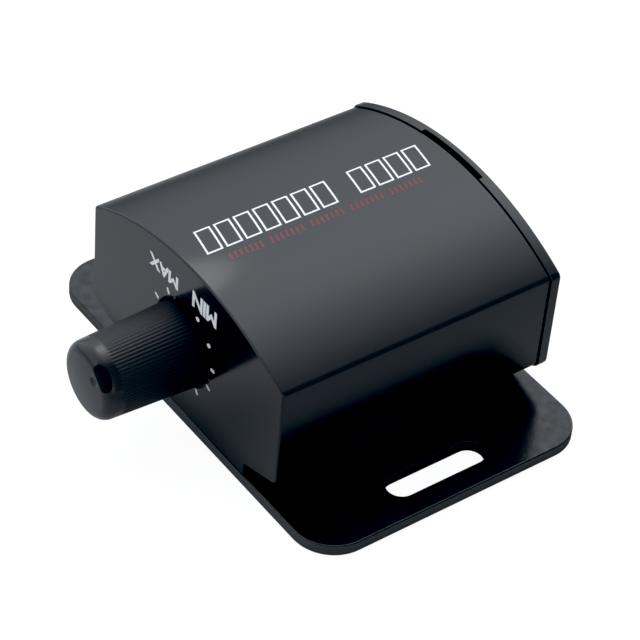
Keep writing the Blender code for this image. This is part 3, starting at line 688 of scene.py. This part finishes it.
# ================================================================ jack
def build_jack():
    """Modular jack: eased block, stepped mouth with a latch channel and a comb for the contacts."""
    ease = 0.25 * MM
    sections = []
    for inset, height in eased_levels(JACK_LOW.y, JACK_HIGH.y, ease, steps=3):
        x_span = (JACK_LOW.x + inset, JACK_HIGH.x - inset)
        z_span = (JACK_LOW.z + inset, JACK_HIGH.z - inset)
        sections.append((rounded_rectangle(x_span, z_span, 0.4 * MM - inset, 4), height))
    jack = new_object("jack_body", loft(sections, along_y))
    mouth_low = JACK_LOW.z + 2.2 * MM
    mouth_high = mouth_low + 7.1 * MM
    mouth_front = JACK_LOW.y + 4.5 * MM
    mouth = []
    for inset, height in ((0.0, mouth_front), (0.0, JACK_HIGH.y - 2 * ease), (ease, JACK_HIGH.y),
                          (ease, JACK_HIGH.y + CUT)):
        half = 5.0 * MM + inset
        z_span = (mouth_low - inset, mouth_high + inset)
        mouth.append((rounded_rectangle((-half, half), z_span, 0.3 * MM, 4), height))
    cut(jack, loft(mouth, along_y))
    for half, floor in ((3.2 * MM, JACK_LOW.z + CUT), (2.0 * MM, JACK_LOW.z + 0.6 * MM)):
        channel = rounded_rectangle((-half, half), (floor, mouth_low + CUT), 0.25 * MM, 4)
        cut(jack, loft([(channel, mouth_front), (channel, JACK_HIGH.y + CUT)], along_y))
    space_high = JACK_HIGH.z - CUT
    space = (JACK_LOW.y + CUT, JACK_HIGH.y - CUT)
    cut(jack, block((-2.3 * MM, 2.3 * MM), space, (mouth_high - GAP, space_high)))
    slit, leg_hole = 0.36 * MM, 0.45 * MM
    for node in CONTACTS:
        x = middle_of(node)[0]
        y_span = (space[1] - CUT, JACK_HIGH.y - 0.35 * MM)
        cut(jack, block((x - slit, x + slit), y_span, (mouth_high - GAP, mouth_high + 0.9 * MM)))
        cut(jack, turned([(leg_hole, space_high - CUT), (leg_hole, JACK_HIGH.z + CUT)], 24,
                         standing_at(x, leg_of(node))))
    finish_piece(jack, JACK_BLACK, CASING, "jack_housing")


def leg_of(node):
    """How far back the upright leg of a contact stands."""
    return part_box(node)[0].y + 0.15 * MM


def wire(name, path, radius, bend, facets=12):
    """Round wire along a path in the YZ plane at one x, with eased bends."""
    x = path[0][0]
    flat = [(y, z) for _, y, z in path]
    smooth = [flat[0]]
    for index in range(1, len(flat) - 1):
        corner = Vector(flat[index])
        reach = min(bend, (Vector(flat[index - 1]) - corner).length / 2,
                    (Vector(flat[index + 1]) - corner).length / 2)
        start = corner + (Vector(flat[index - 1]) - corner).normalized() * reach
        end = corner + (Vector(flat[index + 1]) - corner).normalized() * reach
        for step in range(7):
            share = step / 6
            point = start.lerp(corner, share).lerp(corner.lerp(end, share), share)
            smooth.append(tuple(point))
    smooth.append(flat[-1])
    solid = bmesh.new()
    rings = []
    for index, point in enumerate(smooth):
        here = Vector(point)
        before = Vector(smooth[max(index - 1, 0)])
        after = Vector(smooth[min(index + 1, len(smooth) - 1)])
        along = (after - before).normalized()
        side = Vector((-along.y, along.x))
        ring = []
        for u, v in circle(radius, facets):
            spot = here + side * v
            ring.append(solid.verts.new((x + u, spot.x, spot.y)))
        rings.append(ring)
    for lower, upper in zip(rings, rings[1:]):
        for index in range(facets):
            after = (index + 1) % facets
            solid.faces.new((lower[index], lower[after], upper[after], upper[index]))
    solid.faces.new(rings[0][::-1])
    solid.faces.new(rings[-1])
    bmesh.ops.recalc_face_normals(solid, faces=solid.faces)
    return new_object(name, solid)


def build_contacts():
    """Spring wires: down from the board, along the ceiling, then sloping back into the mouth."""
    radius, bend = 0.2 * MM, 0.22 * MM
    for node in CONTACTS:
        x = middle_of(node)[0]
        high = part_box(node)[1]
        leg_y = leg_of(node)
        run = JACK_HIGH.z - 1.5 * MM
        elbow = high.y - 0.15 * MM
        path = [(x, leg_y, high.z), (x, leg_y, run), (x, elbow, run), (x, elbow, run - 0.55 * MM),
                (x, JACK_HIGH.y - 9.0 * MM, run - 3.6 * MM)]
        piece = wire(node.replace("jack_contact", "contact_wire"), path, radius, bend)
        finish_piece(piece, GOLD_FLASH, CASING, node, angle=60.0)


# ================================================================ knob
def groove(phase):
    """Share of the groove's depth at a phase from 0 to 1 across one rib."""
    return (0.5 - 0.5 * math.cos(2 * math.pi * phase)) ** 2


def knob_section(radius, depth):
    """Round section with grooves of a given depth between the ribs."""
    count = RIBS * RIB_FACETS
    section = []
    for step in range(count):
        angle = 2 * math.pi * step / count
        reach = radius - depth * groove((step % RIB_FACETS) / RIB_FACETS)
        section.append((reach * math.cos(angle), reach * math.sin(angle)))
    return section


def knob_radius(y):
    """Radius over the ribs, which shrinks evenly towards the nose."""
    share = (y - KNOB_REAR) / (KNOB_NOSE + KNOB_EDGE - KNOB_REAR)
    return KNOB_REAR_RADIUS + (KNOB_FRONT_RADIUS - KNOB_REAR_RADIUS) * share


def build_knob():
    """Tapered knob: fine ribs, a smooth collar, a crowned face and a pocket that points."""
    chamfer = 0.25 * MM
    face_radius = KNOB_FRONT_RADIUS - KNOB_EDGE
    rings = [(KNOB_REAR_RADIUS - RIB_DEPTH - chamfer, 0.0, KNOB_REAR),
             (KNOB_REAR_RADIUS - chamfer * 0.3, RIB_DEPTH, KNOB_REAR - chamfer * 0.3),
             (KNOB_REAR_RADIUS, RIB_DEPTH, KNOB_REAR - chamfer)]
    for step in range(1, 6):
        y = KNOB_REAR - chamfer + (RIB_END + RIB_FADE - KNOB_REAR + chamfer) * step / 5
        rings.append((knob_radius(y), RIB_DEPTH, y))
    for share in (0.35, 0.7, 1.0):
        y = RIB_END + RIB_FADE * (1 - share)
        rings.append((knob_radius(y), RIB_DEPTH * math.cos(share * math.pi / 2), y))
    for step in range(11):
        turn = math.pi / 2 * step / 10
        rings.append((face_radius + KNOB_EDGE * math.cos(turn), 0.0,
                      KNOB_NOSE + KNOB_EDGE * (1 - math.sin(turn))))
    for share in (0.8, 0.6, 0.4, 0.2, 0.05):
        rings.append((face_radius * share, 0.0, KNOB_NOSE - KNOB_CROWN * (1 - share ** 2)))
    sections = [(knob_section(radius, depth), y) for radius, depth, y in rings]
    knob = new_object("knob_body", loft(sections, on_shaft))
    skirt, room = 5.7 * MM, -2.3 * MM
    cut(knob, turned([(skirt, room), (skirt, KNOB_REAR + CUT)], 96, on_shaft))
    bore, bore_end = d_section(3.3 * MM, 1.8 * MM), -14.8 * MM
    cut(knob, loft([(bore, bore_end), (bore, room + CUT)], on_shaft))
    cut(knob, loft([(pocket_outline(), POCKET_FLOOR), (pocket_outline(), KNOB_REAR_RADIUS)], in_pocket))
    face = KNOB_NOSE - KNOB_CROWN * (1 - (DIMPLE_OFFSET / face_radius) ** 2)
    dimple = [(DIMPLE_RADIUS * share, face + DIMPLE_DEPTH * (1 - share ** 2))
              for share in (0.15, 0.4, 0.7, 1.0, 1.4)]
    dimple.append((DIMPLE_RADIUS * 1.4, face - CUT))
    cut(knob, turned(dimple, 32, in_dimple))
    finish_piece(knob, KNOB_BLACK, TURNING, "knob", angle=40.0)


def pocket_outline():
    """Pocket seen from outside: square towards the face, round towards the ribs."""
    outline = []
    for u, v in circle(1.0, 48):
        power = 0.6 if v < 0.0 else 1.0
        u = math.copysign(abs(u) ** power, u)
        v = math.copysign(abs(v) ** power, v)
        outline.append((POCKET_HALF_ACROSS * u, POCKET_MIDDLE + POCKET_HALF_ALONG * v))
    return outline


def pointed(outwards, y, across):
    """Place in the knob: outwards along the pointer, along the shaft, and across the pointer."""
    x = outwards * math.cos(POINTER) - across * math.sin(POINTER)
    z = outwards * math.sin(POINTER) + across * math.cos(POINTER)
    return on_shaft(x, z, y)


def in_pocket(across, y, outwards):
    return pointed(outwards, y, across)


def in_dimple(u, v, y):
    return pointed(DIMPLE_OFFSET + u, y, v)


def d_section(radius, flat):
    """Round section with a flat on the side away from the pointer."""
    start = math.acos(-flat / radius)
    angles = [POINTER + start * (1 - step / 24) for step in range(49)]
    return [(radius * math.cos(angle), radius * math.sin(angle)) for angle in angles]


# ================================================================ print
def thin_print(name, faces, place, material):
    """Give flat faces, lists of (u, v) points, the thickness of a layer of ink, set in a little."""
    solid = bmesh.new()
    corners = {}
    sides = {}
    for face in faces:
        ring = []
        for u, v in face:
            key = (round(u / PRINT_MERGE), round(v / PRINT_MERGE))
            if key not in corners:
                heights = (-PRINT_SUNK, PRINT_THICKNESS)
                corners[key] = [solid.verts.new(place(u, v, height)) for height in heights]
            if key not in ring:
                ring.append(key)
        solid.faces.new([corners[key][0] for key in ring])
        solid.faces.new([corners[key][1] for key in ring])
        for pair in zip(ring, ring[1:] + ring[:1]):
            sides.setdefault(frozenset(pair), []).append(pair)
    for pairs in sides.values():
        if len(pairs) == 1:
            first, second = pairs[0]
            solid.faces.new((*corners[first], *corners[second][::-1]))
    bmesh.ops.recalc_face_normals(solid, faces=solid.faces)
    piece = new_object(name, solid)
    return finish_piece(piece, material, CASING, angle=40.0)


def on_front(x, z, height):
    """Place on the front face, with height measured out of it."""
    return Vector((x, FRONT - height, z))


def on_crown(arc, y, height):
    """Place on the arch: arc is measured along it from the crown, towards +X."""
    angle = arc / ARCH_RADIUS
    radius = ARCH_RADIUS + height
    return Vector((radius * math.sin(angle), y, ARCH_CENTRE + radius * math.cos(angle)))


def build_scale():
    """Ring of marks round the knob: a dot at the low end that grows into a line."""
    for number in range(SCALE_MARKS):
        angle = math.radians(SCALE_START + SCALE_STEP * number)
        growth = min(1.0, number / 3)
        length = (0.90 + 0.25 * growth) * MM
        half = (0.45 - 0.20 * growth) * MM
        outline = oblong(0.0, half, length / 2, 6)
        outwards = Vector((math.cos(angle), math.sin(angle)))
        across = Vector((-outwards.y, outwards.x))
        middle = Vector(SCALE_CENTRE) + outwards * SCALE_RADIUS
        face = [tuple(middle + across * u + outwards * v) for u, v in outline]
        thin_print(f"scale_mark_{number + 1:02d}", [face], on_front, WHITE_INK)


def border_loops(mesh):
    """Outlines of a flat mesh, each as a list of points in order."""
    flat = bmesh.new()
    flat.from_mesh(mesh)
    border = [edge for edge in flat.edges if edge.is_boundary]
    loops = []
    while border:
        edge = border.pop(0)
        first, vertex = edge.verts
        loop = [first.co.copy()]
        while vertex is not first:
            loop.append(vertex.co.copy())
            edge = next(other for other in vertex.link_edges if other in border)
            border.remove(edge)
            vertex = edge.other_vert(vertex)
        loops.append(loop)
    flat.free()
    return loops


def without_folds(loop):
    """Drop the little loops that thickening leaves in a letter's acute inner corners."""
    clean = list(loop)
    count = len(loop)
    if count == 3:
        return clean
    for index in range(count):
        a, b, c, d = (loop[(index + step) % count] for step in range(4))
        meeting = intersect_line_line_2d(a.xy, b.xy, c.xy, d.xy)
        if meeting:
            clean[(index + 1) % count] = meeting.to_3d()
            clean[(index + 2) % count] = None
    return [point for point in clean if point is not None]


def filled(loops):
    """Triangles, as lists of points, inside a set of outlines."""
    flat = bmesh.new()
    edges = []
    for loop in loops:
        corners = [flat.verts.new(point) for point in loop]
        edges += [flat.edges.new((corners[index - 1], corners[index])) for index in range(len(corners))]
    bmesh.ops.triangle_fill(flat, edges=edges, use_beauty=True, normal=(0.0, 0.0, 1.0))
    faces = [[vertex.co.copy() for vertex in face.verts] for face in flat.faces]
    flat.free()
    return faces


def word_faces(text, height):
    """Flat faces of a word in the plain built-in type, scaled to a cap height, and its width."""
    curve = bpy.data.curves.new("word", "FONT")
    curve.body = text
    curve.offset = LETTER_THICKENING
    curve.space_character = LETTER_SPACING
    curve.resolution_u = 6
    holder = bpy.data.objects.new("word", curve)
    bpy.context.scene.collection.objects.link(holder)
    mesh = bpy.data.meshes.new_from_object(holder.evaluated_get(bpy.context.evaluated_depsgraph_get()))
    bpy.data.objects.remove(holder, do_unlink=True)
    loops = [without_folds(loop) for loop in border_loops(mesh)]
    points = [point for loop in loops for point in loop]
    low = Vector((min(point.x for point in points), min(point.y for point in points)))
    high = Vector((max(point.x for point in points), max(point.y for point in points)))
    scale = height / (high.y - low.y)
    faces = [[((point.x - low.x) * scale, (point.y - low.y) * scale) for point in face]
             for face in filled(loops)]
    return faces, (high.x - low.x) * scale


def build_end_words():
    """The words at the two ends of the scale, upside down because the box hangs in use."""
    for name, text, right, left, low, high in END_WORDS:
        faces, width = word_faces(text, (high - low) * MM)
        squeeze = (right - left) * MM / width
        turned_faces = [[(right * MM - u * squeeze, high * MM - v) for u, v in face] for face in faces]
        thin_print(name, turned_faces, on_front, WHITE_INK)


def slanted(arc, y):
    return (arc, y + BAR_SLANT * arc)


def bar_faces(arc_span, y_span, line):
    """Outline of one slanted bar, as quads short enough to follow the arch."""
    outer = rectangle(arc_span, y_span)
    inner = rectangle((arc_span[0] + line, arc_span[1] - line), (y_span[0] + line, y_span[1] - line))
    faces = []
    for index in range(4):
        after = (index + 1) % 4
        steps = 12 if abs(outer[index][0] - outer[after][0]) > line else 1
        for step in range(steps):
            quad = []
            for ring, share in ((outer, step), (outer, step + 1), (inner, step + 1), (inner, step)):
                u = ring[index][0] + (ring[after][0] - ring[index][0]) * share / steps
                v = ring[index][1] + (ring[after][1] - ring[index][1]) * share / steps
                quad.append(slanted(u, v))
            faces.append(quad)
    return faces


def build_crown_print():
    """A plain level scale on the crown: outlined slanted bars over a row of fine red strokes."""
    bars = [index for index in range(BAR_COUNT) if index != BAR_GAP]
    pitch, width, line = 3.5 * MM, 2.9 * MM, 0.32 * MM
    start = -22.0 * MM
    for number, index in enumerate(bars, 1):
        low = start + pitch * index
        faces = bar_faces((-5.8 * MM, -0.1 * MM), (low, low + width), line)
        thin_print(f"crown_bar_{number:02d}", faces, on_crown, WHITE_INK)
    strokes = []
    stroke_start, stroke_pitch, stroke = -19.0 * MM, 0.92 * MM, 0.42 * MM
    for index in range(STROKE_COUNT):
        if index % STROKE_GROUP == STROKE_GROUP - 1:
            continue
        low = stroke_start + stroke_pitch * index
        for step in range(4):
            span = [(1.2 + 1.5 * part / 4) * MM for part in (step, step + 1)]
            strokes.append([slanted(u, v) for u, v in rectangle(span, (low, low + stroke))])
    thin_print("crown_strokes", strokes, on_crown, RED_INK)


# ================================================================ screws
def build_screws(stem, body, profile, recess):
    """Cross-recess screws that point upwards; recess is (half width, reach, depth)."""
    half, reach, depth = recess
    for number in range(1, 5):
        node = f"{stem}_{number}"
        low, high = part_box(node)
        at = standing_at((low.x + high.x) / 2, (low.y + high.y) / 2, low.z)
        screw = new_object(f"{stem}_body_{number}", turned(profile, 48, at))
        arm = [(reach, -half), (reach, half), (half, half)]
        cross, tip = [], []
        for quarter in range(4):
            turn = Matrix.Rotation(quarter * math.pi / 2, 2)
            cross += [tuple(turn @ Vector(point)) for point in arm]
            tip += [tuple(turn @ Vector(point) * 0.55) for point in arm]
        cut(screw, loft([(cross, -CUT), (cross, depth * 0.3), (tip, depth)], at))
        finish_piece(screw, ZINC, body, node)


def thread(radius, core, low, high, pitch):
    """Profile of a thread drawn as plain rings."""
    rings = []
    count = int((high - low) / pitch)
    for index in range(count):
        base = low + pitch * index
        rings += [(core, base), (core, base + pitch * 0.35), (radius, base + pitch * 0.6),
                  (radius, base + pitch * 0.7)]
    return rings


def build_all_screws():
    """Sunk screws through the plate and round-headed ones that hold the board."""
    head, ease = 2.55 * MM, 0.12 * MM
    profile = [(head - ease, 0.0), (head, ease), (1.25 * MM, 1.35 * MM)]
    profile += thread(1.25 * MM, 0.95 * MM, 1.8 * MM, 8.6 * MM, 0.8 * MM)
    profile += [(0.95 * MM, 8.7 * MM), (0.45 * MM, 9.6 * MM)]
    build_screws("base_screw", CASING, profile, (0.32 * MM, 1.5 * MM, 1.0 * MM))
    head = 2.0 * MM
    profile = [(head - 0.45 * MM, 0.0), (head - 0.12 * MM, 0.2 * MM), (head, 0.55 * MM), (head, 1.2 * MM),
               (1.0 * MM, 1.2 * MM)]
    profile += thread(1.0 * MM, 0.75 * MM, 1.6 * MM, 5.5 * MM, 0.6 * MM)
    profile += [(0.75 * MM, 5.7 * MM), (0.35 * MM, 6.15 * MM)]
    build_screws("board_screw", CASING, profile, (0.25 * MM, 1.2 * MM, 0.8 * MM))


# ================================================================ carried-over CAD solids
def paint_inner_parts():
    """Materials of the hidden parts that keep their CAD solids."""
    finishes = {"pot_shaft": ALUMINIUM, "pot_rotor": ROTOR_GREY, "pot_wiper": GOLD_FLASH,
                "pot_bushing": ZINC, "pot_washer": ZINC, "pot_nut": ZINC, "pot_case": JACK_BLACK,
                "pot_element": ELEMENT_BROWN, "circuit_board": BOARD_GREEN,
                "pot_terminal_1": ZINC, "pot_terminal_2": ZINC, "pot_terminal_3": ZINC}
    for node, material in finishes.items():
        for holder in frame["nodes"][node].material_slots:
            holder.material = material


# ================================================================ stage
def build_floor():
    """Plain white table: it shines for the camera, and for the rest it is white with painted shade near the
    plate and to its right.
    """
    solid = bmesh.new()
    level = PLATE_LOW.z - 0.05 * MM
    solid.faces.new([solid.verts.new((u, v, level)) for u, v in circle(FLOOR_RADIUS, 64)])
    floor = new_object("floor", solid)
    material, tree, shader = start_material("floor_white")
    place = millimetres(tree)
    seen = camera_ray(tree)
    paper = mix_colour(tree, noise(tree, place, 2.0, 3.0), grey(0.60), grey(0.64))
    # painted shade in the floor's colour for light that arrives by way of a surface: dark near the plate
    # and to its right
    paper_with_painted_shade = mix_colour(tree, painted_shade_near_plate(tree, place), grey(0.01), paper)
    set_inputs(tree, shader, {"Base Color": mix_colour(tree, seen, paper_with_painted_shade, grey(0.15)),
                              "Roughness": 0.9, "Specular IOR Level": 0.0,
                              "Emission Color": grey(1.0),
                              "Emission Strength": math_node(tree, "MULTIPLY", seen, 0.92)})
    floor.data.materials.append(material)


def camera_ray(tree):
    """1 for what the camera sees directly, 0 for light that arrives by way of a surface."""
    return add_node(tree, "ShaderNodeLightPath").outputs["Is Camera Ray"]


def painted_shade_near_plate(tree, place):
    """Painted shade: low under the plate, rising to 1 a little way off its edges as a painted contact
    shadow, and darker on the right as the box's painted shadow.
    """
    past_x = math_node(tree, "MAXIMUM", beyond(tree, place, "X", PLATE_HIGH.x / MM), 0.0)
    past_y = math_node(tree, "MAXIMUM", beyond(tree, place, "Y", PLATE_HIGH.y / MM), 0.0)
    off = add_node(tree, "ShaderNodeCombineXYZ", {0: past_x, 1: past_y}).outputs[0]
    distance = add_node(tree, "ShaderNodeVectorMath", {0: off}, operation="LENGTH").outputs["Value"]
    shade = spread(tree, split_axes(tree, place)["X"], 20.0, 46.0, 1.0, 0.55)
    return math_node(tree, "MULTIPLY", spread(tree, distance, 0.0, 5.0, 0.2, 1.0), shade)


def build_world():
    """Broad soft light from overhead, behind and the left, with a low fill in front.

    Lean is the angle from straight up towards +X; the camera sees plain white.
    """
    world = bpy.data.worlds.new("studio")
    world.use_nodes = True
    bpy.context.scene.world = world
    tree = world.node_tree
    direction = add_node(tree, "ShaderNodeTexCoord").outputs["Generated"]
    axes = split_axes(tree, direction)
    lean = math_node(tree, "ARCTAN2", axes["X"], axes["Z"])
    left = spread(tree, lean, math.radians(-98.0), math.radians(-25.0), 0.2, 2.4)
    right = spread(tree, lean, math.radians(-12.0), math.radians(22.0), 1.0, 0.07)
    behind = spread(tree, axes["Y"], -0.80, 0.30, 0.30, 1.0)
    lamp = math_node(tree, "MULTIPLY", math_node(tree, "MULTIPLY", left, right), behind)
    facing = spread(tree, axes["Y"], 0.32, 0.0, 0.0, 0.75)
    above = spread(tree, axes["Z"], -0.30, 0.05)
    below = spread(tree, axes["Z"], 0.90, 0.45)
    fill = math_node(tree, "MULTIPLY", facing, math_node(tree, "MULTIPLY", above, below))
    light = math_node(tree, "ADD", lamp, fill)
    strength = mix_value(tree, camera_ray(tree), light, BACKDROP)
    background = tree.nodes["Background"]
    background.inputs["Color"].default_value = (0.94, 0.99, 1.04, 1.0)
    tree.links.new(strength, background.inputs["Strength"])


def build_knob_light():
    """Small round lamp whose mirror image sits on the knob's collar."""
    data = bpy.data.lights.new("knob_light", "AREA")
    data.shape = "DISK"
    data.size = KNOB_LIGHT_SIZE
    data.energy = KNOB_LIGHT_WATTS
    lamp = bpy.data.objects.new("knob_light", data)
    lamp.visible_camera = False
    bpy.context.scene.collection.objects.link(lamp)
    collar = Vector((0.55 * MM, FRONT - 15.5 * MM, SHAFT_HEIGHT + KNOB_FRONT_RADIUS))
    lamp.location = collar + KNOB_LIGHT_DIRECTION * KNOB_LIGHT_AWAY
    lamp.rotation_mode = "QUATERNION"
    lamp.rotation_quaternion = KNOB_LIGHT_DIRECTION.to_track_quat("Z", "Y")


def build_camera():
    """Camera on a line from the target, turned a little about its own axis."""
    azimuth, elevation = math.radians(VIEW_AZIMUTH), math.radians(VIEW_ELEVATION)
    back = Vector((math.sin(azimuth) * math.cos(elevation), -math.cos(azimuth) * math.cos(elevation),
                   math.sin(elevation)))
    level = Vector((0.0, 0.0, 1.0)).cross(back).normalized()
    right = Matrix.Rotation(math.radians(VIEW_ROLL), 3, back) @ level
    data = bpy.data.cameras.new("camera")
    data.lens = LENS
    data.sensor_width = SENSOR_WIDTH
    data.clip_start, data.clip_end = 0.01, 10.0
    camera = bpy.data.objects.new("camera", data)
    bpy.context.scene.collection.objects.link(camera)
    turn = Matrix((right, back.cross(right), back)).transposed()
    camera.matrix_world = Matrix.Translation(VIEW_TARGET + back * VIEW_DISTANCE) @ turn.to_4x4()
    bpy.context.scene.camera = camera


def set_contrast():
    """Plain display colours with the deepest shadows pulled down to black."""
    view = bpy.context.scene.view_settings
    view.view_transform = "Standard"
    view.use_curve_mapping = True
    view.curve_mapping.black_level = (0.010, 0.007, 0.004)
    view.curve_mapping.update()


build_plate()
build_housing()
build_cap()
build_jack()
build_contacts()
build_knob()
build_scale()
build_end_words()
build_crown_print()
build_all_screws()
paint_inner_parts()
build_floor()
build_world()
build_knob_light()
build_camera()
set_contrast()
